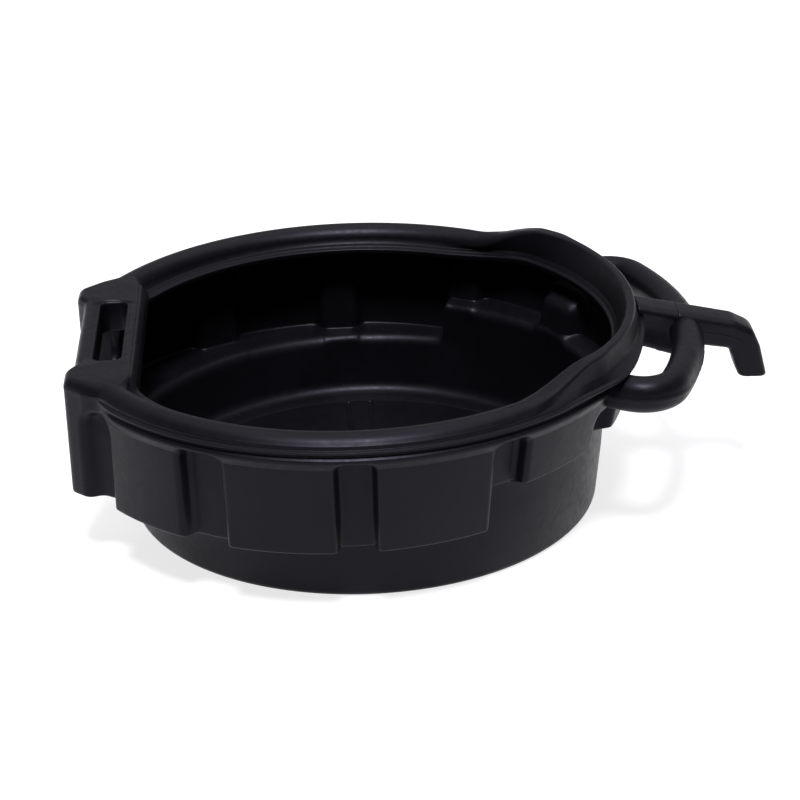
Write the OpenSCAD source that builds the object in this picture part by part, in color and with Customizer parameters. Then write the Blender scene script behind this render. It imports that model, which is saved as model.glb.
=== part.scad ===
// Oil drain pan: a round drum under a wider basin, with a carrying grip at one end
// and a raised pouring spout, a ring handle and a hook at the other.
// +X points to the spout, -X to the grip, +Z up. The origin is the middle of the drum's base.

/* [Drum] */
// Outer radius of the drum at the floor
drum_r = 180; // [176:1:182]
// How far the drum widens from the floor to the ledge
drum_flare = 5; // [2:1:8]
// Radius of the outside edge at the floor
drum_edge_r = 5; // [3:0.5:8]
// Radius of the fillet inside, between floor and wall
drum_fillet_r = 24; // [12:1:30]

/* [Basin] */
// How far the basin's centre lies from the drum's, towards the grip
basin_shift = 7; // [4:1:10]
// Outer radius of the wall panels at their foot
foot_r = 210; // [206:1:214]
// How far the foot of the panels is shifted towards the grip, past the basin's centre
foot_shift = 9; // [4:1:10]
// Outer radius of the wall under the rim
shoulder_r = 217; // [214:1:219]
// Height of the deep ledge's underside
deep_z = 51; // [46:1:56]
// Height of the spout ledge's underside
shallow_z = 82; // [76:1:86]
// Thickness of the moulded wall
wall = 3; // [2.5:0.5:4]
// Depth of the grooves between the panels
groove_depth = 11; // [6:1:13]
// Height of the grooves' upper end
groove_top_z = 120; // [114:1:122]

/* [Rim] */
// Radius of the parting ridge
ridge_r = 221; // [220:0.5:224]
// Height of the parting ridge
ridge_z = 134.5; // [132:0.5:136]
// Height of the rolled crown
crown_z = 143.6; // [141:0.1:146]
// Radius of the splash lip's inner edge
lip_r = 181; // [178:1:186]
// Height of the splash lip's inner edge
lip_z = 129; // [127:0.5:132]

/* [Grip] */
// Distance of the basin's flat end from the drum's centre
end_x = 177; // [175:1:178]
// Distance of the grip bar's outer face from the drum's centre
bar_x = 213.5; // [210:0.5:216]
// Distance of the corner posts' outer face from the drum's centre
post_x = 220; // [217:1:222]
// Length of the finger slot
slot_l = 109; // [96:1:116]
// Width of the finger slot
slot_w = 20.5; // [18:0.5:22]

/* [Spout] */
// How far the spout's crest stands above the crown
spout_rise = 13.9; // [8:0.1:18]
// Radius of the opening's edge inside the spout
spout_lip_r = 198.5; // [194:0.5:200]
// Half angle of the raised spout
spout_half = 38; // [34:1:42]

/* [Ring] */
// Radius of the ring handle's centre line about the basin's centre
ring_r = 255; // [252:1:260]
// Radius of the ring's tube
tube_r = 12.5; // [11:0.5:13]
// Height of the ring's centre line
ring_z = 123; // [120:1:126]
// Angle of the ring's two roots from the spout's middle
root_a = 29.5; // [27:0.5:31]
// Bend radius of the ring's corners
bend_r = 22; // [18:1:26]

/* [Hook] */
// Width of the hook arm
arm_w = 28; // [24:1:30]
// Distance of the hook's outer corner from the drum's centre
hook_x = 314; // [308:1:320]
// Height of the hook's tip
tip_z = 83; // [78:1:90]

/* [Hidden] */
FRONT = -1;
REAR = 1;

hdpe = [0.11, 0.11, 0.12];

// Angles from the spout's middle at which panels and grooves begin and end
g5_a = [25.5, 34];
g4_a = [56.7, 64.3];
g3_a = [87.4, 95.4];
g2_a = [117, 126.6];
g1_a = [146, 153.3];
post_side_a = 162.5;               // a post's side face, towards the middle of the flat end
deck_a = 167;                      // where the grip bar begins
cheek_a = 0.8;                     // thickness of a groove's side wall, as an angle
wing_end_a = 56;                   // where the raised spout has run out into the rim
end_a = 151.5;                     // where the round rim meets the flat end
step_a = 2.4;                      // angle between the sections of a curved wall

drum_top_r = drum_r + drum_flare;
ledge_top = deep_z + wall;
cap_h = 4;                         // height of a groove's sloping upper end
post_corner_a = [153.3, 157.1];    // a post's outer corner is cut off between these angles
post_corner_r = [225, 231.2];      // and has these radii there
crown_r = 206;                     // radius of the crown's highest line
crown_round_r = 12;                // the crown's section is an arc of this radius
shelf_w = 9;                       // width of the splash lip's shelf, and inside the spout
spout_shelf_w = 4;
bead = 3;                          // how far the bead over the panels stands out
bead_z = 126;
bead_top_z = 130;
// The spout's crest from its outer foot to its inner foot: [radius, height below the crest line]
crest = [[219, 14], [216.4, 8], [214.4, 2.5], [212.6, 0], [210, 0], [206.8, 7], [204, 14]];
crown_angles = [15, 40, 65, 90, 115, 140, 165];   // where the crown's arc has its points
lip_h = 7;                         // height of the splash lip's inner face
root_under_z = 108;                // groove 5 ends here, under the ring's root
groove_1_in_r = 212.5;             // radius of the first groove's floor beside panel 1
end_lip_x = 166;                   // distance of the opening's flat edge from the drum's centre
bar_under_z = 122;                 // underside of the grip bar
slot_in_x = end_x + 2.4;           // inner side of the finger slot
spout_ridge_r = 224;               // radius of the ridge at the spout's middle
root_ridge_r = 231;                // and over the ring's roots, where it flares out
spout_ridge_z = 139.5;             // height of the ridge round the spout
arm_top_in_z = 145.8;              // top of the hook arm at the spout
arm_slope = 0.232;                  // fall of the arm's top for each millimetre outwards
arm_in_x = 217;
web_in_x = 212;                    // the web reaches under the ridge to the wall

function lerp(a, b, t) = a + (b - a) * t;
function clamp01(t) = min(1, max(0, t));
function smooth(t) = let (c = clamp01(t)) c * c * (3 - 2 * c);
// Radius, seen from a centre, of a circle of radius r whose own centre is d further along +X
function off_circle_r(a, d, r) = d * cos(a) + sqrt(r * r - pow(d * sin(a), 2));
// Radius, seen from the basin's centre, of a plane that stands x behind the drum's centre
function end_plane_r(a, x) = (x - basin_shift) / cos(180 - a);

// Outer radius of the panels at angle a and height z
function foot_radius(a) = off_circle_r(a, -foot_shift, foot_r);
function panel_r(a, z) =
    lerp(foot_radius(a), shoulder_r, clamp01((z - deep_z) / (groove_top_z - deep_z)));
function post_r(a) = min(end_plane_r(a, post_x), lerp(post_corner_r[0], post_corner_r[1],
    (a - post_corner_a[0]) / (post_corner_a[1] - post_corner_a[0])));
function groove_1_r(a) =
    lerp(groove_1_in_r, post_r(g1_a[1]), smooth((a - g1_a[0] - 2) / (g1_a[1] - g1_a[0] - 2)));
// Inner edge of the ledges, which is the drum's inner wall seen from the basin's centre
function drum_edge(a) = off_circle_r(a, basin_shift, drum_top_r - wall);

// Rim: how far the section at angle a has turned into the spout
function spout_t(a) = smooth((wing_end_a - a) / (wing_end_a - spout_half));
function rim_lip_r(a) = lerp(lip_r, spout_lip_r, smooth((66 - a) / 26));
function rim_ridge_r(a) =
    a < 32 ? lerp(spout_ridge_r, root_ridge_r, smooth((a - 8) / 24)) :
    a < g1_a[0] ? lerp(root_ridge_r, ridge_r, smooth((a - 32) / 13)) :
    a < g1_a[1] ? max(ridge_r, groove_1_r(a)) : post_r(a);
function rim_ridge_z(a) = lerp(ridge_z, spout_ridge_z, spout_t(a));
function rim_crest_z(a) = crown_z + spout_rise * spout_t(a);
function rim_shoulder_r(a) =
    a > g1_a[1] ? post_r(a) - 2 : a > g1_a[0] ? groove_1_r(a) - 2 : panel_r(a, groove_top_z);

// Points over the crown, which narrows to the spout's crest as t goes from 0 to 1
function crown_points(t, cz) = [for (i = [0 : len(crest) - 1]) [
    lerp(crown_r + crown_round_r * cos(crown_angles[i]), crest[i][0], t),
    cz - lerp(crown_round_r * (1 - sin(crown_angles[i])), crest[i][1], t)]];

// Closed section of the rim, as [radius, height], at angle a. It is solid between the wall's top,
// the parting ridge, the crown and the splash lip.
function rim_section(a) = let (
        t = spout_t(a),
        s = rim_shoulder_r(a),
        l = rim_lip_r(a),
        rr = rim_ridge_r(a),
        rz = rim_ridge_z(a))
    concat(
        [[s, groove_top_z], [s + bead, bead_z], [s + 0.6, bead_top_z]],
        [[rr - 0.5, rz - 2], [rr, rz]],
        crown_points(t, rim_crest_z(a)),
        [[l + lerp(shelf_w, spout_shelf_w, t), lip_z + 2], [l, lip_z], [l + 0.5, lip_z - lip_h]],
        [[s - wall, groove_top_z]]);

// Closed solid through sections that stand at the given angles about the basin's centre.
// Each section is a ring of [radius, height] points, all with the same number of points.
module sweep(angles, sections) {
    n = len(sections[0]);
    m = len(angles);
    points = [for (i = [0 : m - 1]) for (p = sections[i])
        [p[0] * cos(angles[i]) - basin_shift, p[0] * sin(angles[i]), p[1]]];
    sides = [for (i = [0 : m - 2]) for (j = [0 : n - 1]) let (
            k = (j + 1) % n, here = i * n, next = here + n)
        each [[here + j, here + k, next + k], [here + j, next + k, next + j]]];
    first = [for (j = [n - 1 : -1 : 0]) j];
    last = [for (j = [0 : n - 1]) (m - 1) * n + j];
    polyhedron(points, concat(sides, [first], [last]), convexity = 8);
}

// Angles from a0 to a1, about one step apart
function angle_steps(a0, a1) = let (n = max(1, ceil((a1 - a0) / step_a)))
    [for (i = [0 : n]) lerp(a0, a1, i / n)];

// side is REAR or FRONT: the pan is the same on both sides of its middle
module on_side(side) {
    mirror([0, side == FRONT ? 1 : 0, 0]) children();
}

module black() {
    color(hdpe) children();
}

// Panel between two angles, from height z0 up to the rim
module wall_strip(a0, a1, z0) {
    angles = angle_steps(a0, a1);
    black() sweep(angles, [for (a = angles)
        let (r0 = panel_r(abs(a), z0), r1 = panel_r(abs(a), groove_top_z))
        [[r0, z0], [r1, groove_top_z], [r1 - wall, groove_top_z], [r0 - wall, z0]]]);
}

module wall_panel(side, a0, a1, z0) {
    on_side(side) wall_strip(a0, a1, z0);
}

module spout_panel() {
    wall_strip(-g5_a[0], g5_a[0], shallow_z);
}

// Recessed wall between two panels: sloping sides, and a short slope at its upper end z1
module groove(side, span, z0, z1) {
    angles = concat([span[0]], angle_steps(span[0] + cheek_a, span[1] - cheek_a), [span[1]]);
    black() on_side(side) sweep(angles, [for (a = angles) let (
            d = a == span[0] || a == span[1] ? 0 : groove_depth,
            back = groove_depth + wall,
            r0 = panel_r(a, z0), r1 = panel_r(a, z1), r2 = panel_r(a, groove_top_z))
        [[r0 - d, z0], [r1 - d, z1 - 2 * cap_h], [r1, z1 - cap_h], [r2, groove_top_z],
         [r2 - back, groove_top_z], [r1 - back, z1 - 2 * cap_h], [r0 - back, z0]]]);
}

// The groove beside the grip deepens into the corner post
module groove_1(side) {
    angles = concat([g1_a[0]], angle_steps(g1_a[0] + cheek_a, g1_a[1]));
    black() on_side(side) sweep(angles, [for (a = angles) let (
            edge = a == g1_a[0],
            r = edge ? groove_1_in_r : groove_1_r(a),
            r0 = edge ? panel_r(a, deep_z) : r,
            r1 = edge ? panel_r(a, groove_top_z) : r)
        [[r0, deep_z], [r1, groove_top_z], [r - wall, groove_top_z], [r - wall, deep_z]]]);
}

// Hollow corner post beside the grip
module corner_post(side) {
    angles = angle_steps(g1_a[1], post_side_a);
    side_angles = [post_side_a - cheek_a, post_side_a];
    black() on_side(side) union() {
        sweep(angles, [for (a = angles) let (r = post_r(a))
            [[r, deep_z], [r, groove_top_z], [r - wall, groove_top_z], [r - wall, deep_z]]]);
        sweep(side_angles, [for (a = side_angles) let (r = post_r(a) - wall, e = end_plane_r(a, end_x))
            [[r, deep_z], [r, groove_top_z], [e, groove_top_z], [e, deep_z]]]);
    }
}

module end_wall() {
    half = (end_x - basin_shift) * tan(180 - post_side_a);
    z0 = drum_fillet_r - 1.6;
    black() translate([-end_x, -half, z0]) cube([wall, 2 * half, groove_top_z - z0]);
}

// Everything on the basin's side of the flat end
module flat_end_cut() {
    difference() {
        children();
        translate([-300, -300, -1]) cube([300 - end_x, 600, 300]);
    }
}

module drum_floor() {
    black() cylinder(h = wall, r = drum_r - drum_fillet_r - 4, $fn = 128);
}

// Bottom corner of the drum: rounded outside, with a wide fillet inside
module drum_corner() {
    n = 8;
    fillet_x = drum_r - wall - drum_fillet_r;
    black() flat_end_cut() rotate_extrude($fn = 128) polygon(concat(
        [[drum_r - drum_fillet_r - 4, 0], [drum_r - drum_edge_r, 0]],
        [for (i = [1 : n - 1]) let (b = 90 * i / n)
            [drum_r - drum_edge_r + drum_edge_r * sin(b), drum_edge_r - drum_edge_r * cos(b)]],
        [[drum_r, drum_edge_r], [drum_r + 1.5, drum_fillet_r], [drum_r + 1.5 - wall, drum_fillet_r]],
        [for (i = [1 : n]) let (b = 90 * i / n)
            [fillet_x + drum_fillet_r * cos(b), wall + drum_fillet_r * (1 - sin(b))]],
        [[drum_r - drum_fillet_r - 4, wall]]));
}

module drum_wall() {
    r0 = drum_r + 1.5;
    black() flat_end_cut() rotate_extrude($fn = 128) polygon([
        [r0, drum_fillet_r], [drum_top_r, ledge_top],
        [drum_top_r - wall, ledge_top], [r0 - wall, drum_fillet_r]]);
}

// Above the deep ledge the drum's wall goes on up to the spout ledge, round the spout's side
module spout_side_drum_wall() {
    angles = angle_steps(-g4_a[1], g4_a[1]);
    black() sweep(angles, [for (a = angles) let (r = drum_edge(abs(a)))
        [[r + wall, ledge_top], [r + wall, shallow_z], [r, shallow_z], [r, ledge_top]]]);
}

// Outer limit of the deep ledge, which follows the panels, the grooves and the post
function ledge_out_r(a) =
    a > g1_a[1] ? post_r(a) - wall :
    a > g1_a[0] + cheek_a ? groove_1_r(a) - wall :
    in_groove(a) ? foot_radius(a) - groove_depth - wall : foot_radius(a) - wall;
function in_groove(a) = (a > g2_a[0] && a < g2_a[1]) || (a > g3_a[0] && a < g3_a[1]);

module deep_ledge(side) {
    gap = 0.01;
    stops = [g4_a[1], g3_a[0], g3_a[1], g2_a[0], g2_a[1], g1_a[0], g1_a[1], post_side_a - cheek_a];
    angles = [for (i = [0 : len(stops) - 2]) each angle_steps(stops[i] + gap, stops[i + 1] - gap)];
    black() on_side(side) sweep(angles, [for (a = angles) let (r = ledge_out_r(a))
        [[drum_edge(a) + wall, deep_z], [r, deep_z], [r, ledge_top], [drum_edge(a) + wall, ledge_top]]]);
}

module spout_ledge() {
    angles = angle_steps(-g4_a[1], g4_a[1]);
    black() sweep(angles, [for (a = angles) let (
            b = abs(a),
            cut = (b > g5_a[0] && b < g5_a[1]) || b > g4_a[0] ? groove_depth : 0,
            r = panel_r(b, shallow_z) - wall - cut)
        [[drum_edge(b), shallow_z], [r, shallow_z], [r, shallow_z + wall],
         [drum_edge(b), shallow_z + wall]]]);
}

// Upright web where the deep ledge steps up to the spout ledge
module ledge_riser(side) {
    angles = [g4_a[1] - 1, g4_a[1]];
    black() on_side(side) sweep(angles, [for (a = angles)
        [[drum_edge(a) + wall, ledge_top], [panel_r(a, ledge_top) - wall, ledge_top],
         [panel_r(a, shallow_z) - wall, shallow_z], [drum_edge(a) + wall, shallow_z]]]);
}

module rim_part(side, a0, a1) {
    beside_groove = a1 > g1_a[0] ? angle_steps(g1_a[0] + cheek_a, a1) : [];
    angles = concat(angle_steps(a0, min(a1, g1_a[0])), beside_groove);
    black() on_side(side) sweep(angles, [for (a = angles) rim_section(a)]);
}

module spout_lip() {
    angles = angle_steps(-spout_half, spout_half);
    black() sweep(angles, [for (a = angles) rim_section(abs(a))]);
}

// Straight piece across the flat end: its profile is given as [distance behind the drum's centre,
// height], and its ends are mitred at the angle a
module straight_piece(a, profile) {
    angles = [a, 360 - a];
    black() sweep(angles, [for (b = angles) [for (p = profile) [end_plane_r(b, p[0]), p[1]]]]);
}

// Lip along the flat end, and the deck behind it as far as the finger slot
module end_lip() {
    straight_piece(end_a, [
        [end_x, groove_top_z], [slot_in_x, ridge_z], [slot_in_x, crown_z - 1], [slot_in_x - 4, crown_z],
        [end_lip_x + 5, crown_z], [end_lip_x + 2, lip_z + 3], [end_lip_x, lip_z],
        [end_lip_x + 0.5, lip_z - lip_h], [end_x - wall, groove_top_z]]);
}

// Top of a corner post: it carries the rim round to the grip, and rounds the finger slot's end
module post_cap(side) {
    angles = angle_steps(end_a, deck_a);
    half_w = slot_w / 2;
    black() on_side(side) difference() {
        sweep(angles, [for (a = angles) let (
                r = a > post_side_a ? end_plane_r(a, bar_x) : rim_ridge_r(a),
                e = end_plane_r(a, slot_in_x))
            [[r, groove_top_z], [r, ridge_z], [r - 4, crown_z - 2],
             [r - 10, crown_z], [e, crown_z], [e, groove_top_z]]]);
        translate([-slot_in_x - half_w, slot_l / 2 - half_w, 0]) {
            cylinder(r = half_w, h = 200, $fn = 48);
            translate([-half_w, -slot_l, 0]) cube([slot_w, slot_l, 200]);
        }
    }
}

// Grip bar outside the finger slot, with its edges rounded for the hand
module grip_bar() {
    r = 5;
    n = 6;
    in_x = slot_in_x + slot_w;
    corners = [[bar_x - r, bar_under_z + r, -90], [bar_x - r, crown_z - r, 0],
               [in_x + r, crown_z - r, 90], [in_x + r, bar_under_z + r, 180]];
    straight_piece(deck_a, [for (c = corners) for (i = [0 : n])
        [c[0] + r * cos(c[2] + 90 * i / n), c[1] + r * sin(c[2] + 90 * i / n)]]);
}

// Ring handle round the spout
module about_basin() {
    translate([-basin_shift, 0, ring_z]) children();
}

bend_a = asin(bend_r / (ring_r - bend_r));   // angle that each corner of the ring takes up

module ring_root(side) {
    foot = 210;
    black() on_side(side) about_basin() difference() {
        rotate([0, 0, root_a]) translate([foot, 0, 0])
            rotate([0, 90, 0]) cylinder(r = tube_r, h = (ring_r - bend_r) * cos(bend_a) - foot, $fn = 48);
        cylinder(r = shoulder_r + 2, h = 100, center = true, $fn = 128);
    }
}

module ring_corner(side) {
    black() on_side(side) about_basin() rotate([0, 0, root_a - bend_a])
        translate([ring_r - bend_r, 0, 0])
            rotate_extrude(angle = 90 + bend_a, $fn = 64) translate([bend_r, 0]) circle(tube_r, $fn = 48);
}

module ring_arc() {
    span = root_a - bend_a;
    black() about_basin() rotate([0, 0, -span])
        rotate_extrude(angle = 2 * span, $fn = 128) translate([ring_r, 0]) circle(tube_r, $fn = 48);
}

module arm_slab(outline) {
    black() rotate([90, 0, 0]) linear_extrude(arm_w, center = true) polygon(outline);
}

function arm_top(x) = arm_top_in_z - arm_slope * (x - arm_in_x);
arm_under_z = 110;
web_under_z = 104;
tip_in_x = 285;                    // inner side of the hook under the arm
tip_out_x = 288;                   // where the arm's top begins to turn down

// Deep web that ties the ring to the spout
module hook_web() {
    ring_x = ring_r - basin_shift;
    ledge_z = spout_ridge_z - 2.5;
    black() difference() {
        arm_slab([[web_in_x, 117], [web_in_x, ledge_z], [arm_in_x, ledge_z],
                  [arm_in_x, arm_top(arm_in_x)], [ring_x, arm_top(ring_x)], [ring_x, web_under_z]]);
        ring_arc();
    }
}

// Arm from the ring outwards
module hook_arm() {
    ring_x = ring_r - basin_shift;
    black() difference() {
        arm_slab([[ring_x, web_under_z], [ring_x, arm_top(ring_x)], [tip_out_x, arm_top(tip_out_x)],
                  [tip_in_x, arm_under_z - 4], [ring_x + 13, arm_under_z]]);
        ring_arc();
    }
}

// Down-turned end of the hook
module hook_tip() {
    arm_slab([[tip_out_x, arm_top(tip_out_x)], [296, 124.5], [303, 117.5], [309, 105],
              [hook_x, tip_z + 3], [hook_x - 2, tip_z], [291.5, tip_z + 4], [289, tip_z + 8],
              [tip_in_x, arm_under_z - 4]]);
}

drum_floor();
drum_corner();
drum_wall();
spout_side_drum_wall();
deep_ledge(FRONT);  // deep_ledge_front
deep_ledge(REAR);  // deep_ledge_rear
spout_ledge();
ledge_riser(FRONT);  // ledge_riser_front
ledge_riser(REAR);  // ledge_riser_rear
wall_panel(FRONT, g2_a[1], g1_a[0], deep_z);  // wall_panel_1_front
wall_panel(REAR, g2_a[1], g1_a[0], deep_z);  // wall_panel_1_rear
wall_panel(FRONT, g3_a[1], g2_a[0], deep_z);  // wall_panel_2_front
wall_panel(REAR, g3_a[1], g2_a[0], deep_z);  // wall_panel_2_rear
wall_panel(FRONT, g4_a[1], g3_a[0], deep_z);  // wall_panel_3_front
wall_panel(REAR, g4_a[1], g3_a[0], deep_z);  // wall_panel_3_rear
wall_panel(FRONT, g5_a[1], g4_a[0], shallow_z);  // wall_panel_4_front
wall_panel(REAR, g5_a[1], g4_a[0], shallow_z);  // wall_panel_4_rear
spout_panel();
groove_1(FRONT);  // groove_1_front
groove_1(REAR);  // groove_1_rear
groove(FRONT, g2_a, deep_z, groove_top_z);  // groove_2_front
groove(REAR, g2_a, deep_z, groove_top_z);  // groove_2_rear
groove(FRONT, g3_a, deep_z, groove_top_z);  // groove_3_front
groove(REAR, g3_a, deep_z, groove_top_z);  // groove_3_rear
groove(FRONT, g4_a, shallow_z, groove_top_z);  // groove_4_front
groove(REAR, g4_a, shallow_z, groove_top_z);  // groove_4_rear
groove(FRONT, g5_a, shallow_z, root_under_z);  // groove_5_front
groove(REAR, g5_a, shallow_z, root_under_z);  // groove_5_rear
corner_post(FRONT);  // corner_post_front
corner_post(REAR);  // corner_post_rear
end_wall();
rim_part(FRONT, wing_end_a, end_a);  // rim_front
rim_part(REAR, wing_end_a, end_a);  // rim_rear
rim_part(FRONT, spout_half, wing_end_a);  // spout_wing_front
rim_part(REAR, spout_half, wing_end_a);  // spout_wing_rear
spout_lip();
end_lip();
post_cap(FRONT);  // post_cap_front
post_cap(REAR);  // post_cap_rear
grip_bar();
ring_root(FRONT);  // ring_root_front
ring_root(REAR);  // ring_root_rear
ring_corner(FRONT);  // ring_corner_front
ring_corner(REAR);  // ring_corner_rear
ring_arc();
hook_web();
hook_arm();
hook_tip();
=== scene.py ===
import math

import bpy
import numpy as np
from mathutils import Matrix, Vector


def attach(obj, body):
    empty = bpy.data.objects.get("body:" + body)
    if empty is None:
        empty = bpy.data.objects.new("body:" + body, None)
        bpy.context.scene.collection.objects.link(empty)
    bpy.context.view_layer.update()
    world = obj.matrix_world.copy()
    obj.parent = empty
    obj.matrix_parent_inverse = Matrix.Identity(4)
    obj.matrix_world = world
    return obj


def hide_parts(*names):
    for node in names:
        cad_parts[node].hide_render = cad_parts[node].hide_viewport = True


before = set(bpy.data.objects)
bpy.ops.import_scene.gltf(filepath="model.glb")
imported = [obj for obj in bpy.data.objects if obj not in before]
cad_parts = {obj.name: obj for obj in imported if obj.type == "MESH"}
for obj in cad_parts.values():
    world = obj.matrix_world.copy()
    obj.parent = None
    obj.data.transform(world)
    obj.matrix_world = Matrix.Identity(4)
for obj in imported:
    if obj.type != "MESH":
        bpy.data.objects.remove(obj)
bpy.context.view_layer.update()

# All shapes are worked out in millimetres and turned into metres when a mesh is made.
MM = 0.001

# ---------------------------------------------------------------- plan of the pan
# Angles are about the basin's centre, 0 at the spout and 180 at the grip. The pan is the same on
# both sides, so shapes are functions of a = 0..180 and are mirrored.
BASIN_X = -7.0        # the basin's centre
DRUM_X = 0.0          # centre of the round drum that the pan stands on
FOOT_X = -16.0        # centre of the arc along the foot of the panels
FOOT_R = 210.0        # radius of that arc
PANEL_R = 217.0       # the panels lean out to this radius at LEAN_Z
LEAN_Z = 120.0
MEAN_R = 216.0        # radius used to turn angles into lengths along the wall
DRUM_R = 180.0        # the drum at the ground; it widens upwards
DEEP_Z = 51.0         # foot of the tall panels, behind STEP_A
SHALLOW_Z = 82.5      # foot of the short panels, round the spout
STEP_A = 64.3         # angle at which the foot steps up
PANEL_TOP_Z = 118.6
WALL = 3.0
FLOOR_Z = 3.0
END_X = 177.0         # plane of the flat end wall, behind the drum's centre as the next two are
BAR_X = 213.5         # outer face of the grip bar
POST_X = 219.7        # outer face of the posts beside it
POST_SIDE_A = 162.5   # inner side of the posts

# grooves: (from angle, to angle, depth, height of the upper end, radius of its corners)
GROOVES = [
    (25.8, 36.0, 15.0, 108.5, 8.0),
    (56.7, 64.3, 11.0, 123.4, 8.0),
    (87.4, 95.4, 11.0, 123.4, 8.0),
    (117.0, 126.6, 11.0, 123.4, 9.0),
    (146.0, 153.3, 11.0, 122.6, 13.0),
]

# Outlines round the pan, as (angle, value) pairs: radii of the posts, of the ridge under the crown,
# of the hollow above it, and of the crest's two sides with the radii that round them, and the
# heights of the ridge and the crest.
POST_FACE_R = [(145, 216), (150, 221.5), (153.3, 225.2), (157, 231), (161, 238), (180, 270)]
RIDGE_R = [(0, 223.6), (12, 224), (20, 226), (28, 229.5), (32.5, 231), (39, 226), (46, 221),
           (60, 220.4), (143, 220.4), (154, 212), (160, 190), (180, 180)]
RIDGE_Z = [(0, 138.6), (16, 138.8), (30, 139.2), (40, 137.5), (50, 134.4), (60, 134.2), (180, 134.2)]
HOLLOW_R = [(0, 218.4), (16, 219.0), (28, 221.5), (36, 221.5), (41, 218.5), (48, 216.8), (54, 217),
            (148, 217), (156, 205), (180, 180)]
CREST_Z = [(0, 156.2), (20, 156.3), (30, 156.9), (36, 157.2), (40, 156.8), (43.5, 154.6),
           (47.5, 150.4), (52, 145.8), (57, 143.8), (70, 143.6), (150, 143.6), (160, 142.8),
           (180, 142.6)]
CREST_OUT_R = [(0, 213.4), (18, 213.8), (28, 215.6), (35, 217.6), (41, 215.2), (47, 213.4),
               (53, 215.0), (60, 218), (148, 218), (156, 205), (180, 180)]
CREST_OUT_ROUND = [(0, 2.4), (40, 2.6), (47, 4), (52, 7), (59, 12), (146, 12), (155, 8.5), (162, 6),
                   (180, 6)]
CREST_IN_R = [(0, 209.0), (24, 208.8), (32, 208.0), (37, 206.0), (42, 203.0), (47, 199.6), (54, 195),
              (60, 194), (180, 194)]
CREST_IN_ROUND = [(0, 3), (38, 3), (47, 7), (57, 12), (180, 12)]


def lerp(a, b, t):
    return a + (b - a) * t


def smooth(t):
    t = np.clip(t, 0.0, 1.0)
    return t * t * (3.0 - 2.0 * t)


def table(a, pairs):
    """Smooth curve through (angle, value) pairs."""
    x = np.array([p[0] for p in pairs], float)
    y = np.array([p[1] for p in pairs], float)
    h = np.diff(x)
    d = np.diff(y) / h
    m = np.zeros_like(y)
    m[1:-1] = np.where(d[:-1] * d[1:] > 0, 2 * d[:-1] * d[1:] / (d[:-1] + d[1:] + 1e-12), 0.0)
    i = np.clip(np.searchsorted(x, a) - 1, 0, len(h) - 1)
    t = np.clip((a - x[i]) / h[i], 0.0, 1.0)
    return (
        (2 * t**3 - 3 * t**2 + 1) * y[i]
        + (t**3 - 2 * t**2 + t) * h[i] * m[i]
        + (3 * t**2 - 2 * t**3) * y[i + 1]
        + (t**3 - t**2) * h[i] * m[i + 1]
    )


def circle_r(a, centre_x, r):
    """Radius, seen from the basin's centre, of a circle centred at centre_x."""
    d = centre_x - BASIN_X
    ar = np.radians(a)
    return d * np.cos(ar) + np.sqrt(r * r - (d * np.sin(ar)) ** 2)


def plane_r(a, x):
    """Radius, seen from the basin's centre, of the plane that stands x behind the drum's centre."""
    return (x + BASIN_X) / np.maximum(np.cos(np.radians(180.0 - a)), 0.05)


def soft_min(a, b, k):
    """The smaller of two values, with the corner where they cross rounded over k."""
    h = np.clip(0.5 + 0.5 * (b - a) / k, 0.0, 1.0)
    return lerp(b, a, h) - k * h * (1.0 - h)


def soft_max(a, b, k):
    return -soft_min(-a, -b, k)


def step_curve(x0, x1, height, r):
    """A slope from 0 at x0 to height at x1 with rounded corners, as (xs, heights) for np.interp."""
    level = 9.0  # length of the level parts at both ends
    corners = [(x0 - level, 0.0), (x0, 0.0), (x1, height), (x1 + level, height)]
    pts = [corners[0]]
    for i in (1, 2):
        p0, p, p1 = (np.array(c) for c in corners[i - 1 : i + 2])
        u = (p0 - p) / np.linalg.norm(p0 - p)
        v = (p1 - p) / np.linalg.norm(p1 - p)
        for s in np.linspace(0, 1, 9):
            q = (1 - s) ** 2 * (p + u * r) + 2 * s * (1 - s) * p + s * s * (p + v * r)
            pts.append(tuple(q))
    pts.append(corners[3])
    xs = np.array([q[0] for q in pts])
    order = np.argsort(xs)
    return xs[order], np.array([q[1] for q in pts])[order]


ARC = math.radians(1.0) * MEAN_R  # millimetres of wall for one degree
GROOVE_DEEP = 11.0  # depth the two cheek curves are drawn for; deeper grooves scale it
POST_DEEP = 45.0
STEP_RISE = 32.0
CHEEK_OUT = step_curve(0.0, 2.0, GROOVE_DEEP, 4.2)
CHEEK_IN = step_curve(0.0, 4.5, GROOVE_DEEP, 6.0)
POST_CHEEK = step_curve(0.0, 0.8, POST_DEEP, 8.0)
RISER = step_curve(0.0, 1.2, STEP_RISE, 4.0)


def groove_depth(a, z, grow, cheek):
    """How far the wall is set back at angle a and height z. grow widens the grooves, for the inside."""
    depth = np.zeros(np.broadcast(a, z).shape)
    for a0, a1, deep, top, corner in GROOVES:
        u = np.abs(a - (a0 + a1) / 2) * ARC
        half = (a1 - a0) / 2 * ARC + grow
        rc = min(corner + grow, half - 0.5)
        qx = u - (half - rc)
        qz = z - (top + grow - rc)
        # signed distance from the edge of a slot with rounded upper corners
        sd = np.hypot(np.maximum(qx, 0), np.maximum(qz, 0)) + np.minimum(np.maximum(qx, qz), 0) - rc
        depth = np.maximum(depth, np.interp(-sd, *cheek) * deep / GROOVE_DEEP)
    return depth


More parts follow.
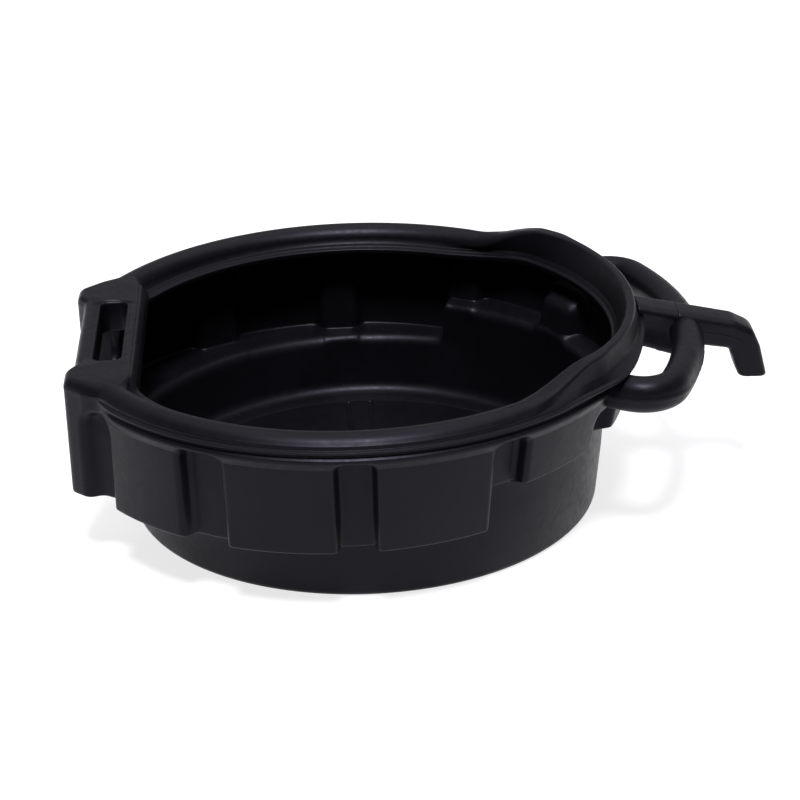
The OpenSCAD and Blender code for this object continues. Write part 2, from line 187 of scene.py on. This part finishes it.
def face_r(a, z):
    """The outer face of panels and posts, before grooves and the flat end."""
    foot = circle_r(a, FOOT_X, FOOT_R)
    panel = lerp(foot, PANEL_R, np.clip((z - DEEP_Z) / (LEAN_Z - DEEP_Z), 0, 1.1))
    post = soft_min(table(a, POST_FACE_R), plane_r(a, POST_X), 2.0)
    post = lerp(post, plane_r(a, BAR_X), smooth((a - 160.6) / 3.0))
    return lerp(panel, post, smooth((a - 147.0) / 6.0))


def end_share(a, shift):
    """0 on the panels and posts, 1 between the posts, where the end wall stands back."""
    return np.interp((a - POST_SIDE_A) * ARC + shift, *POST_CHEEK) / POST_DEEP


def wall_r(a, z):
    """The outer face with its grooves and the flat end."""
    out = face_r(a, z) - groove_depth(a, z, 0.0, CHEEK_OUT)
    return lerp(out, plane_r(a, END_X - 1.0), end_share(a, 0.0))


def wall_in_r(a, z):
    """The inner face of the same wall."""
    out = face_r(a, z) - WALL - groove_depth(a, z, WALL + 1.5, CHEEK_IN)
    return lerp(out, plane_r(a, END_X - 1.0 - WALL), end_share(a, WALL + 0.4))


def drum_r(a, z, inset):
    """The drum's face: it widens upwards and is cut flat at the end."""
    r = DRUM_R + 5.5 * np.minimum(z, DEEP_Z) / DEEP_Z + 0.8 * np.maximum(z - DEEP_Z, 0) / STEP_RISE - inset
    round_r = circle_r(a, DRUM_X, r)
    flat = plane_r(a, END_X - inset)
    flat_share = smooth((z - 4.0) / 26.0)
    return np.where(a > 120, lerp(round_r, soft_min(round_r, flat, 2.0), flat_share), round_r)


def foot_z(a):
    """Height of the foot of the panels, on the two sides of the step."""
    return DEEP_Z + np.interp((STEP_A - a) * ARC, *RISER) * (SHALLOW_Z - DEEP_Z) / STEP_RISE


# ---------------------------------------------------------------- columns
def column_angles():
    """Angles of the mesh's columns: even all round, and close together where the wall bends."""
    found = list(np.arange(0.0, 180.01, 0.75))
    near = np.arange(-7.2, 5.6, 0.42)
    for a0, a1, *_ in GROOVES:
        found += list(a0 + near / ARC) + list(a1 - near / ARC)
        found += list(np.arange(a0, a1, 0.32))
    found += list(POST_SIDE_A + np.arange(-13.0, 10.0, 0.5) / ARC)
    found = sorted(round(v, 3) for v in found if 0 <= v <= 180)
    kept = [found[0]]
    for v in found[1:]:
        if v - kept[-1] > 0.085:
            kept.append(v)
    kept[-1] = 180.0
    return np.array(kept)


HALF = column_angles()


def pt(a, r, z):
    """Points at angles a, radius r and height z."""
    a = np.radians(a)
    z = z + 0 * a
    return np.stack([BASIN_X + r * np.cos(a), r * np.sin(a), z], axis=-1)


def drawn_in(row, k):
    """A copy of a row, drawn in towards the drum's axis."""
    return row * np.array([k, k, 1.0])


def rounded(before, corner, after, r, n):
    """n rows that round the corner of a profile with radius about r."""
    u = before - corner
    v = after - corner
    lu = np.linalg.norm(u, axis=-1, keepdims=True)
    lv = np.linalg.norm(v, axis=-1, keepdims=True)
    u = u / np.maximum(lu, 1e-9)
    v = v / np.maximum(lv, 1e-9)
    cos = np.clip((u * v).sum(-1, keepdims=True), -0.9999, 0.9999)
    r = np.asarray(r, float)
    r = r[..., None] if r.ndim else r
    # how far along both sides the round reaches, never past the middle of the shorter one
    reach = r * np.sqrt((1 + cos) / (1 - cos))
    reach = np.clip(reach, 0.12, 0.46 * np.minimum(lu, lv) + 1e-6)
    p0 = corner + u * reach
    p1 = corner + v * reach
    # a rational quadratic through the two tangent points is a true arc
    w = np.sqrt((1 - cos) / 2)
    rows = []
    for s in np.linspace(0, 1, n):
        b0, b1, b2 = (1 - s) ** 2, 2 * s * (1 - s), s * s
        rows.append((b0 * p0 + b1 * w * corner + b2 * p1) / (b0 + b1 * w + b2))
    return rows


def body_rows():
    """Rows of points from the middle of the underside, up the outside, over the rim and down inside."""
    a = HALF
    up = smooth((56.0 - a) / 14.0)          # how far the rim has turned into the spout
    end = smooth((a - 146.5) / 5.0)         # how far it has turned into the flat end
    fade = 1.0 - smooth((a - 142.0) / 7.0)  # the bead and ridge die out at the posts
    short = smooth((STEP_A - a) / 3.0)      # how far the panels have turned into the short ones
    zf = foot_z(a)
    face = face_r(a, PANEL_TOP_Z + 0 * a)

    # underside, with a shallow ring groove: (share of the radius, height)
    base = pt(a, circle_r(a, DRUM_X, 174.0), 0.0)
    rows = []
    for k, z in ((0.02, 0.0), (0.35, 0.0), (0.68, 0.0), (0.70, 0.9), (0.715, 0.9), (0.735, 0.0), (0.9, 0.0)):
        rows.append(drawn_in(base, k) + np.array([0.0, 0.0, z]))

    corners = [(rows[-1], 0, 0)]  # (points, fillet radius, rows that make the fillet)

    def corner(r, z, radius=0, n=1):
        corners.append((pt(a, r, z), radius, n))

    # drum, and the shelf from its top to the foot of the panels
    corner(drum_r(a, 0.0, 0.0), 0.0, 5.5, 8)
    drum_top = zf - lerp(3.4, 5.0, short)
    for z in (14.0, 26.0, 38.0):
        zz = lerp(5.0, drum_top, z / DEEP_Z)
        corner(drum_r(a, zz, 0.0), zz)
    corner(drum_r(a, drum_top, 0.0), drum_top, 3.0, 5)
    corner(lerp(drum_r(a, zf, 0.0), wall_r(a, zf), 0.5), lerp(drum_top, zf, 0.5))
    # panels
    corner(wall_r(a, zf), zf, 2.8, 7)
    for t in np.concatenate([np.linspace(0.06, 0.7, 8), np.linspace(0.74, 1.0, 26)]):
        zz = lerp(zf, PANEL_TOP_Z, t)
        corner(wall_r(a, zz), zz)
    # between the posts the profile goes out under the deck to the grip bar's outer face
    under = end_share(a, 0.0)
    corner(lerp(wall_r(a, PANEL_TOP_Z + 0.6), face, under), lerp(119.2, 117.2, under),
           lerp(0.3, 5.0, under), 6)
    # bead over the panels: bulges out, then slopes in under the ridge
    bead = 3.5
    for z in np.linspace(120.0, 124.4, 7):
        grooved = groove_depth(a, z, 0.0, CHEEK_OUT) * (1.0 - under)
        corner(face + bead * fade * smooth((z - 118.0) / 8.2) - grooved,
               lerp(z, 123.0 + (z - 120.0) * 0.3, under))
    corner(face + bead * fade, 125.6, 2.2, 6)
    corner(face + 3.3 * fade, 127.6, 1.6, 6)
    corner(face + 0.3 * fade, 130.2, 0.8, 4)
    ridge = table(a, RIDGE_R)
    ridge_in = soft_max(ridge - 3.0, face + 0.1, 0.8)
    ridge = soft_max(ridge, face + 0.1, 0.8)
    ridge_z = table(a, RIDGE_Z)
    corner(ridge - 0.1, ridge_z - 1.6, 0.4, 4)
    corner(ridge, ridge_z, 0.6, 5)
    corner(ridge_in, ridge_z + lerp(0.5, 1.2, up), 0.8, 5)
    # crown, or on the spout the hollow outside and the crest: an arc outside and one inside
    hollow = soft_max(table(a, HOLLOW_R), face, 0.8)
    corner(hollow, lerp(137.2, 143.8, up), lerp(2.0, 6.0, up), 6)
    crest_z = table(a, CREST_Z)
    out_r = table(a, CREST_OUT_ROUND)
    out_edge = soft_max(table(a, CREST_OUT_R), face - 0.1, 0.8)
    in_r = lerp(table(a, CREST_IN_ROUND), 1.0, end)
    in_edge = soft_min(table(a, CREST_IN_R), plane_r(a, 171.4), 2.0)
    out_start = lerp(lerp(36.0, 6.0, up), 4.0, smooth((a - 146.0) / 6.0))
    in_stop = lerp(lerp(170.0, 152.0, up), 165.0, end)
    for k in np.linspace(0, 1, 13):
        t = np.radians(lerp(out_start, 90.0, k))
        corner(out_edge - out_r + out_r * np.cos(t), crest_z - out_r + out_r * np.sin(t))
    for k in np.linspace(0, 1, 13):
        t = np.radians(lerp(90.0, in_stop, k))
        corner(in_edge + in_r + in_r * np.cos(t), crest_z - in_r + in_r * np.sin(t))
    # shelf of the splash lip; at the flat end a raised line and a step
    lip = lerp(181.4, 198.5, smooth((66.0 - a) / 26.0))
    lip_z = lerp(130.0, 131.6, up)
    shelf = [  # (width and height above the lip, plane and height at the flat end, fillet radius)
        (lerp(10.6, 4.4, up), lerp(0.8, 5.0, up), 169.8, 143.0 - lip_z, 1.2),
        (lerp(6.0, 3.2, up), lerp(0.6, 3.0, up), 168.3, 140.3 - lip_z, 0.8),
        (lerp(5.5, 2.4, up), lerp(0.0, 1.4, up), 166.4, 136.6 - lip_z, 0.8),
    ]
    lip_flat = soft_min(lip, plane_r(a, 165.0), 2.5)
    for width, dz, x, end_dz, radius in shelf:
        r = lerp(lip + width, soft_min(lip + width, plane_r(a, x), 1.0), end)
        corner(np.maximum(r, lip_flat + 0.6), lip_z + lerp(dz, end_dz, end), radius, 5)
    corner(lip_flat, lip_z - 0.2, 1.2, 7)
    corner(lip_flat + 0.5, lip_z - 4.6, 1.0, 5)
    # inside: under the lip, down the panels, over the shelf and down the drum to the floor
    wall_top = wall_in_r(a, 121.0 + 0 * a)
    corner(lerp(lip_flat, wall_top, 0.5), 124.6, 3.0, 3)
    corner(wall_top, 123.8, 5.0, 8)
    for t in np.concatenate([np.linspace(1.0, 0.76, 16), np.linspace(0.7, 0.14, 8)]):
        zz = lerp(zf + WALL, 122.5, t * 0.985)
        corner(wall_in_r(a, zz), zz)
    zl = zf + WALL - 0.8
    corner(wall_in_r(a, zl), zl, 4.5, 7)
    fall = lerp(2.6, 4.2, short)
    corner(lerp(wall_in_r(a, zl), drum_r(a, zl, WALL), 0.2), zl - 0.2 * fall)
    zl = zl - fall
    corner(drum_r(a, zl, WALL), zl, 12.0, 14)
    for t in (0.6, 0.48):
        zz = lerp(FLOOR_Z, zl, t)
        corner(drum_r(a, zz, WALL), zz)
    corner(drum_r(a, 0.0, WALL), FLOOR_Z, 18.5, 14)
    # floor, with a fine line round its edge: (radius, height)
    for r, dz in ((157.6, 0.0), (156.9, -0.6), (155.9, -0.6), (155.2, 0.0), (152.0, 0.0), (130.0, 0.0)):
        corner(circle_r(a, DRUM_X, r), FLOOR_Z + dz)

    for before, (p, radius, n), after in zip(corners, corners[1:], corners[2:]):
        rows += [p] if n == 1 else rounded(before[0], p, after[0], radius, n)
    last = rows[-1]
    rows += [drawn_in(last, k) for k in (0.8, 0.6, 0.4, 0.2, 0.02)]
    return np.array(rows)


def mesh_object(name, verts, faces):
    me = bpy.data.meshes.new(name)
    me.from_pydata((np.asarray(verts) * MM).tolist(), [], faces)
    me.validate()
    me.update()
    ob = bpy.data.objects.new(name, me)
    bpy.context.scene.collection.objects.link(ob)
    return ob


def lathe_like(rows):
    """Closed mesh from the half rows: mirrored, with a pole at each end."""
    back = rows[:, -2:0:-1, :] * np.array([1.0, -1.0, 1.0])
    full = np.concatenate([rows, back], axis=1)
    m, n, _ = full.shape
    verts = full.reshape(-1, 3).tolist()
    verts.append([0.0, 0.0, float(rows[0, 0, 2])])
    verts.append([0.0, 0.0, float(rows[-1, 0, 2])])
    faces = []
    for i in range(m - 1):
        b = i * n
        for j in range(n):
            k = (j + 1) % n
            faces.append((b + j, b + k, b + n + k, b + n + j))
    top = (m - 1) * n
    for j in range(n):
        k = (j + 1) % n
        faces.append((m * n, k, j))
        faces.append((m * n + 1, top + j, top + k))
    return verts, faces


def tube_mesh(sections):
    """Closed mesh through closed sections with the same number of points, with both ends capped."""
    s = np.array(sections)
    m, n, _ = s.shape
    verts = s.reshape(-1, 3).tolist()
    faces = []
    for i in range(m - 1):
        for j in range(n):
            k = (j + 1) % n
            faces.append((i * n + j, i * n + k, (i + 1) * n + k, (i + 1) * n + j))
    faces.append(tuple(range(n - 1, -1, -1)))
    faces.append(tuple((m - 1) * n + j for j in range(n)))
    return verts, faces


# ---------------------------------------------------------------- body and finger slot
body = mesh_object("pan_body", *lathe_like(body_rows()))

SLOT_X0, SLOT_X1 = -199.9, -179.4
SLOT_HALF_L = 56.8
SLOT_CORNER_R = 6.5
SLOT_EDGE_R = 2.6
DECK_UNDER_Z, DECK_TOP_Z = 117.2, 142.6
CUT_LOW_Z, CUT_HIGH_Z = 90.0, 170.0


def slot_cutter():
    """Long hole with rounded corners; it widens at the deck's top and underside to round those edges."""
    cx = (SLOT_X0 + SLOT_X1) / 2
    flat_x = (SLOT_X1 - SLOT_X0) / 2 - SLOT_CORNER_R
    flat_y = SLOT_HALF_L - SLOT_CORNER_R
    outline = []
    for quarter in range(4):
        side_x = 1 if quarter in (0, 3) else -1
        side_y = 1 if quarter in (0, 1) else -1
        for i in range(11):
            t = math.pi / 2 * (quarter + i / 10)
            outline.append((math.cos(t), math.sin(t), side_x, side_y))
    levels = [(CUT_LOW_Z, SLOT_EDGE_R)]  # (height, how much wider the hole is there)
    turns = [math.pi / 2 * k / 6 for k in range(7)]
    for z_edge, way in ((DECK_UNDER_Z, 1), (DECK_TOP_Z, -1)):
        pairs = [(z_edge + way * (SLOT_EDGE_R * (1 - math.cos(t))), SLOT_EDGE_R * (1 - math.sin(t)))
                 for t in turns]
        levels += pairs[::way]
    levels.append((CUT_HIGH_Z, SLOT_EDGE_R))
    sections = []
    for z, grow in levels:
        r = SLOT_CORNER_R + grow
        sections.append([(cx + flat_x * side_x + r * c, flat_y * side_y + r * s, z)
                         for c, s, side_x, side_y in outline])
    return mesh_object("slot_cutter", *tube_mesh(sections))


def cut_away(target, cutter):
    """Subtracts the cutter from the target's mesh and removes the cutter."""
    mod = target.modifiers.new("cut", "BOOLEAN")
    mod.operation = "DIFFERENCE"
    mod.object = cutter
    mod.solver = "MANIFOLD"
    deps = bpy.context.evaluated_depsgraph_get()
    result = bpy.data.meshes.new_from_object(target.evaluated_get(deps))
    target.modifiers.clear()
    old = target.data
    target.data = result
    result.name = target.name
    bpy.data.meshes.remove(old)
    bpy.data.objects.remove(cutter, do_unlink=True)


def strip_cutter(x, side):
    """Shallow groove with sloping sides, running across the floor near its edge."""
    sections = []
    for y, deep in ((96.0, 0.0), (98.0, 0.5), (152.0, 0.5), (154.0, 0.0)):
        top, bottom = FLOOR_Z + 1, FLOOR_Z - deep - 0.02
        outline = [(x - 2.2, top), (x - 1.2, bottom), (x + 1.2, bottom), (x + 2.2, top)]
        # reversed on one side, so that the cutter's faces point outwards on both
        sections.append([(px, side * y, pz) for px, pz in outline][::-side])
    return mesh_object("strip_cutter", *tube_mesh(sections))


cut_away(body, slot_cutter())
for side in (1, -1):
    for x in (-8.0, 10.0):
        cut_away(body, strip_cutter(x, side))

# ---------------------------------------------------------------- ring handle
RING_Z = 122.8
RING_ROOT_A = 30.8         # angle of the two legs
RING_FOOT_R = 216.0        # where they start, in the wall
RING_ARC_R = 256.0         # centre line of the outer arc
RING_BEND_R = 24.0         # centre line of the bends between legs and arc
RING_HALF_W, RING_HALF_H = 12.1, 13.5
RING_SQUARE = 0.96         # power that flattens the section's ellipse a little
SEAM_HALF = 0.12           # half the angle that the moulding seam takes up, in radians


def ring_path():
    """Centre line of the ring in plan, from one root to the other."""
    root = math.radians(RING_ROOT_A)
    c, s = math.cos(root), math.sin(root)
    # the bend's centre lies beside the leg, on the middle's side
    bend_a = root - math.asin(RING_BEND_R / (RING_ARC_R - RING_BEND_R))
    centre = ((RING_ARC_R - RING_BEND_R) * math.cos(bend_a), (RING_ARC_R - RING_BEND_R) * math.sin(bend_a))
    leg_end = centre[0] * c + centre[1] * s
    pts = [(r * c, r * s) for r in np.linspace(RING_FOOT_R, leg_end, 14)[:-1]]
    for t in np.linspace(root + math.pi / 2, bend_a, 22):
        pts.append((centre[0] + RING_BEND_R * math.cos(t), centre[1] + RING_BEND_R * math.sin(t)))
    for t in np.linspace(bend_a, 0, 34)[1:]:
        pts.append((RING_ARC_R * math.cos(t), RING_ARC_R * math.sin(t)))
    full = pts + [(x, -y) for x, y in pts[-2::-1]]
    return np.array(full) + np.array([BASIN_X, 0.0])


def noise(i):
    """A fixed, uneven value in 0..1 for each i."""
    v = math.sin(i * 12.9898) * 43758.5453
    return v - math.floor(v)


def ring_sections():
    path = ring_path()
    tangent = np.gradient(path, axis=0)
    tangent /= np.linalg.norm(tangent, axis=1)[:, None]
    length = np.concatenate([[0], np.cumsum(np.linalg.norm(np.diff(path, axis=0), axis=1))])
    inside = np.array([BASIN_X + 150.0, 0.0])
    around = 56
    sections = []
    for (x, y), (tx, ty), at in zip(path, tangent, length):
        out = np.array([-ty, tx])
        if out @ (np.array([x, y]) - inside) < 0:
            out = -out
        seam = 0.5 + (0.25 + 0.35 * noise(at * 0.37))
        outline = []
        for j in range(around):
            t = 2 * math.pi * j / around
            ct, st = math.cos(t), math.sin(t)
            off_seam = abs(((t + math.pi) % (2 * math.pi)) - math.pi)
            proud = seam * max(0.0, 1 - off_seam / SEAM_HALF) ** 0.7
            w = RING_HALF_W * np.sign(ct) * abs(ct) ** RING_SQUARE + proud * (1 if ct > 0 else 0)
            h = RING_HALF_H * np.sign(st) * abs(st) ** RING_SQUARE
            outline.append((x + out[0] * w, y + out[1] * w, RING_Z + h))
        sections.append(outline)
    return sections


ring = mesh_object("ring_handle", *tube_mesh(ring_sections()))

# ---------------------------------------------------------------- hook
HOOK_HALF_W = 14.0
WEB_HALF_W = 13.95
BAR_ROUND = 5.5       # radius of the long edges of both
TIP_ROUND = 2.6
SIDE_RUN = [0.85, 0.6, 0.35, 0.12, 0.05, 0.0, -0.05, -0.12, -0.35, -0.6, -0.85]
# upper and lower edge of the hook from the side, as (x, z)
HOOK_TOP = [(243.0, 140.2), (262.0, 135.9), (287.0, 130.2), (301.5, 122.5), (307.6, 108.0), (312.6, 86.0)]
HOOK_BOTTOM = [(243.0, 110.5), (262.0, 111.4), (282.6, 108.0), (286.4, 99.0), (288.4, 92.0), (290.4, 86.6)]


def bar_section(top, bottom, half_w, radius, waist=0.0, seam=0.3):
    """Rounded rectangle between two points (x, z), half_w either side of the middle.

    waist draws the sides in at mid height, and seam raises a fine line there.
    """
    top = np.array(top)
    bottom = np.array(bottom)
    up = top - bottom
    height = np.linalg.norm(up)
    up /= height
    pts = []
    hh = height / 2
    for cx, cz, start in ((1, 1, 0), (-1, 1, 90), (-1, -1, 180), (1, -1, 270)):
        for k in range(9):
            t = math.radians(start + 90 * k / 8)
            pts.append((cx * (half_w - radius) + radius * math.cos(t),
                        cz * (hh - radius) + radius * math.sin(t)))
        if cx != cz:
            # side face, downwards on one side and upwards on the other
            for q in SIDE_RUN if cx < 0 else SIDE_RUN[::-1]:
                bump = seam * max(0.0, 1 - abs(q) / 0.08)
                dent = waist * (1 - q * q)
                pts.append((cx * (half_w + bump - dent), q * (hh - radius)))
    mid = (top + bottom) / 2
    return [(mid[0] + up[0] * h, w, mid[1] + up[1] * h) for w, h in pts]


def polyline_rounded(points, radii):
    p = np.array(points, float)
    out = [p[0]]
    for i in range(1, len(p) - 1):
        out += rounded(p[i - 1], p[i], p[i + 1], radii[i - 1], 10)
    out.append(p[-1])
    return np.array(out)


def resample(line, count):
    seg = np.concatenate([[0], np.cumsum(np.linalg.norm(np.diff(line, axis=0), axis=1))])
    at = np.linspace(0, seg[-1], count)
    return np.stack([np.interp(at, seg, line[:, k]) for k in range(line.shape[1])], axis=1)


def hook_mesh():
    top = resample(polyline_rounded(HOOK_TOP, [20, 14, 12, 20]), 60)
    bottom = resample(polyline_rounded(HOOK_BOTTOM, [20, 4, 4, 10]), 60)
    sections = [bar_section(t, b, HOOK_HALF_W, BAR_ROUND) for t, b in zip(top, bottom)]
    # rounded tip
    t, b = top[-1], bottom[-1]
    along = (top[-1] - top[-2]) + (bottom[-1] - bottom[-2])
    along /= np.linalg.norm(along)
    mid = (t + b) / 2
    for k in range(1, 9):
        q = math.pi / 2 * k / 9
        go = TIP_ROUND * math.sin(q)
        less = TIP_ROUND * (1 - math.cos(q))
        tt = t + along * go + (mid - t) / np.linalg.norm(mid - t) * less
        bb = b + along * go + (mid - b) / np.linalg.norm(mid - b) * less
        sections.append(bar_section(tt, bb, HOOK_HALF_W - less, BAR_ROUND - less * 0.2, seam=0.2))
    return tube_mesh(sections)


def web_mesh():
    """The block between the ring and the hook, with a slightly uneven lower edge."""
    sections = []
    for x in np.linspace(212.0, 250.0, 30):
        t = (x - 217.0) / 26.0
        top = (x, lerp(146.0, 140.2, t) - 0.05)
        bottom = (x, lerp(112.6, 104.6, smooth((x - 212.0) / 30.0)) + 0.5 * noise(x))
        waist = 3.0 * float(smooth((241.0 - x) / 6.0))
        sections.append(bar_section(top, bottom, WEB_HALF_W, BAR_ROUND, waist=waist, seam=0.0))
    return tube_mesh(sections)


hook = mesh_object("hook_arm", *hook_mesh())
web = mesh_object("hook_web", *web_mesh())

# ---------------------------------------------------------------- material


def node(tree, kind, x, y, **values):
    n = tree.nodes.new(kind)
    n.location = (x, y)
    for key, value in values.items():
        if key in n.inputs:
            n.inputs[key].default_value = value
        else:
            setattr(n, key, value)
    return n


def remap(tree, x, y, from_range, to_range=(0.0, 1.0)):
    n = node(tree, "ShaderNodeMapRange", x, y)
    n.inputs["From Min"].default_value, n.inputs["From Max"].default_value = from_range
    n.inputs["To Min"].default_value, n.inputs["To Max"].default_value = to_range
    return n


def join(tree, *pairs):
    for output, socket in pairs:
        tree.links.new(output, socket)


NOISE_RANGE = (0.3, 0.7)         # where nearly all of a noise texture's values lie
BLACK_LOW = (0.0024, 0.0024, 0.0034, 1.0)
BLACK_HIGH = (0.0044, 0.0044, 0.0060, 1.0)
ROUGH_RANGE = (0.34, 0.46)


def black_plastic(name):
    """Moulded black plastic: faint clouds in its colour, mottled gloss and a fine grain."""
    mat = bpy.data.materials.new(name)
    mat.use_nodes = True
    tree = mat.node_tree
    tree.nodes.clear()
    out = node(tree, "ShaderNodeOutputMaterial", 900, 0)
    bsdf = node(tree, "ShaderNodeBsdfPrincipled", 600, 0)
    bsdf.inputs["IOR"].default_value = 1.45
    bsdf.inputs["Specular IOR Level"].default_value = 0.17
    bsdf.inputs["Specular Tint"].default_value = (0.81, 0.79, 1.0, 1.0)
    co = node(tree, "ShaderNodeTexCoord", -1100, 0)
    cloud = node(tree, "ShaderNodeTexNoise", -800, 300, Scale=14.0, Detail=5.0, Roughness=0.6)
    grain = node(tree, "ShaderNodeTexNoise", -800, 0, Scale=1500.0, Detail=3.0, Roughness=0.6)
    mottle = node(tree, "ShaderNodeTexNoise", -800, -300, Scale=160.0, Detail=4.0, Roughness=0.6)
    for texture in (cloud, grain, mottle):
        tree.links.new(co.outputs["Object"], texture.inputs["Vector"])
    colour = remap(tree, -500, 300, NOISE_RANGE)
    ramp = node(tree, "ShaderNodeMix", -250, 300)
    ramp.data_type = "RGBA"
    ramp.inputs[6].default_value = BLACK_LOW
    ramp.inputs[7].default_value = BLACK_HIGH
    rough = remap(tree, -250, 0, NOISE_RANGE, ROUGH_RANGE)
    fine = node(tree, "ShaderNodeBump", 100, -200, Strength=0.25, Distance=0.00012)
    coarse = node(tree, "ShaderNodeBump", 350, -200, Strength=0.35, Distance=0.0003)
    join(
        tree,
        (bsdf.outputs[0], out.inputs[0]),
        (cloud.outputs["Fac"], colour.inputs["Value"]),
        (colour.outputs[0], ramp.inputs["Factor"]),
        (ramp.outputs[2], bsdf.inputs["Base Color"]),
        (mottle.outputs["Fac"], rough.inputs["Value"]),
        (rough.outputs[0], bsdf.inputs["Roughness"]),
        (grain.outputs["Fac"], fine.inputs["Height"]),
        (mottle.outputs["Fac"], coarse.inputs["Height"]),
        (fine.outputs[0], coarse.inputs["Normal"]),
        (coarse.outputs[0], bsdf.inputs["Normal"]),
    )
    return mat


plastic = black_plastic("black_plastic")
for piece in (body, ring, hook, web):
    piece.data.materials.clear()
    piece.data.materials.append(plastic)
    for p in piece.data.polygons:
        p.use_smooth = True

# ---------------------------------------------------------------- which CAD nodes each piece replaces
names = list(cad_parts)
ring_nodes = [n for n in names if n.startswith("ring_")]
web_nodes = ["hook_web"]
hook_nodes = ["hook_arm", "hook_tip"]
body_nodes = [n for n in names if n not in ring_nodes + web_nodes + hook_nodes]
for piece, nodes in ((body, body_nodes), (ring, ring_nodes), (web, web_nodes), (hook, hook_nodes)):
    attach(piece, "root")
    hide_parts(*nodes)

# ---------------------------------------------------------------- stage, light, camera
STAGE_HALF = 6.0  # metres
stage_me = bpy.data.meshes.new("floor")
stage_me.from_pydata([(sx * STAGE_HALF, sy * STAGE_HALF, 0) for sx, sy in ((-1, -1), (1, -1), (1, 1), (-1, 1))],
                     [], [(0, 1, 2, 3)])
floor = bpy.data.objects.new("floor", stage_me)
bpy.context.scene.collection.objects.link(floor)
floor_mat = bpy.data.materials.new("pale_floor")
floor_mat.use_nodes = True
floor_bsdf = floor_mat.node_tree.nodes["Principled BSDF"]
# part albedo and part glow, so that the floor stays nearly white and shadows on it stay faint
floor_bsdf.inputs["Base Color"].default_value = (0.36, 0.357, 0.363, 1.0)
floor_bsdf.inputs["Roughness"].default_value = 0.9
floor_bsdf.inputs["Specular IOR Level"].default_value = 0.0
floor_bsdf.inputs["Emission Color"].default_value = (1.0, 0.99, 1.0, 1.0)
floor_bsdf.inputs["Emission Strength"].default_value = 0.78
stage_me.materials.append(floor_mat)

SKY_FRONT = 0.04
SKY_BACK = 0.42
# The camera sees a plain white backdrop; the pan is lit by a dimmer sky and by the lamps.
world = bpy.data.worlds.new("studio")
bpy.context.scene.world = world
world.use_nodes = True
wt = world.node_tree
wt.nodes.clear()
w_out = node(wt, "ShaderNodeOutputWorld", 600, 0)
backdrop = node(wt, "ShaderNodeBackground", 0, 150, Color=(1.0, 1.0, 1.0, 1.0), Strength=1.0)
sky = node(wt, "ShaderNodeBackground", 0, -150, Color=(0.96, 0.95, 1.0, 1.0))
ray = node(wt, "ShaderNodeLightPath", 0, 400)
pick = node(wt, "ShaderNodeMixShader", 300, 0)
direction = node(wt, "ShaderNodeTexCoord", -600, -150)
split = node(wt, "ShaderNodeSeparateXYZ", -400, -150)
dim = remap(wt, -200, -150, (-0.3, 0.6), (SKY_FRONT, SKY_BACK))
join(
    wt,
    (direction.outputs["Generated"], split.inputs[0]),
    (split.outputs["Y"], dim.inputs["Value"]),
    (dim.outputs[0], sky.inputs["Strength"]),
    (ray.outputs["Is Camera Ray"], pick.inputs[0]),
    (sky.outputs[0], pick.inputs[1]),
    (backdrop.outputs[0], pick.inputs[2]),
    (pick.outputs[0], w_out.inputs[0]),
)


def sun_light(name, azimuth, elevation, angle, strength):
    """A soft, even lamp far away: azimuth from +X towards +Y, all angles in degrees."""
    data = bpy.data.lights.new(name, "SUN")
    data.energy = strength
    data.angle = math.radians(angle)
    ob = bpy.data.objects.new(name, data)
    az, el = math.radians(azimuth), math.radians(elevation)
    d = Vector((math.cos(az) * math.cos(el), math.sin(az) * math.cos(el), math.sin(el)))
    ob.rotation_euler = d.to_track_quat("Z", "Y").to_euler()
    bpy.context.scene.collection.objects.link(ob)


sun_light("key", -94.0, 66.0, 13.0, 3.6)
sun_light("fill", 60.0, 80.0, 70.0, 1.3)

# The camera stands in front, at -Y, and looks back and down at a point in the pan.
SENSOR = 36.0
FOCAL_SHARE = 2449.9 / 800.0          # focal length over the picture's width
CAM_AZIMUTH, CAM_ELEVATION, CAM_ROLL = 2.39, 24.4, -1.74  # degrees
CAM_DISTANCE = 1.899                  # metres
CAM_TARGET = np.array([0.02898, -0.00121, 0.07305])

cam_data = bpy.data.cameras.new("camera")
cam = bpy.data.objects.new("camera", cam_data)
bpy.context.scene.collection.objects.link(cam)
bpy.context.scene.camera = cam
cam_data.sensor_width = SENSOR
cam_data.lens = SENSOR * FOCAL_SHARE
az, el, roll = math.radians(CAM_AZIMUTH), math.radians(CAM_ELEVATION), math.radians(CAM_ROLL)
forward = np.array([math.sin(az) * math.cos(el), math.cos(az) * math.cos(el), -math.sin(el)])
level = np.array([math.cos(az), -math.sin(az), 0.0])
upright = np.cross(level, forward)
cam_x = math.cos(roll) * level + math.sin(roll) * upright
cam_y = -math.sin(roll) * level + math.cos(roll) * upright
place = CAM_TARGET - forward * CAM_DISTANCE
cam.matrix_world = Matrix([*zip(cam_x, cam_y, -forward, place), (0, 0, 0, 1)])

scene = bpy.context.scene
scene.view_settings.view_transform = "Standard"
scene.view_settings.look = "None"
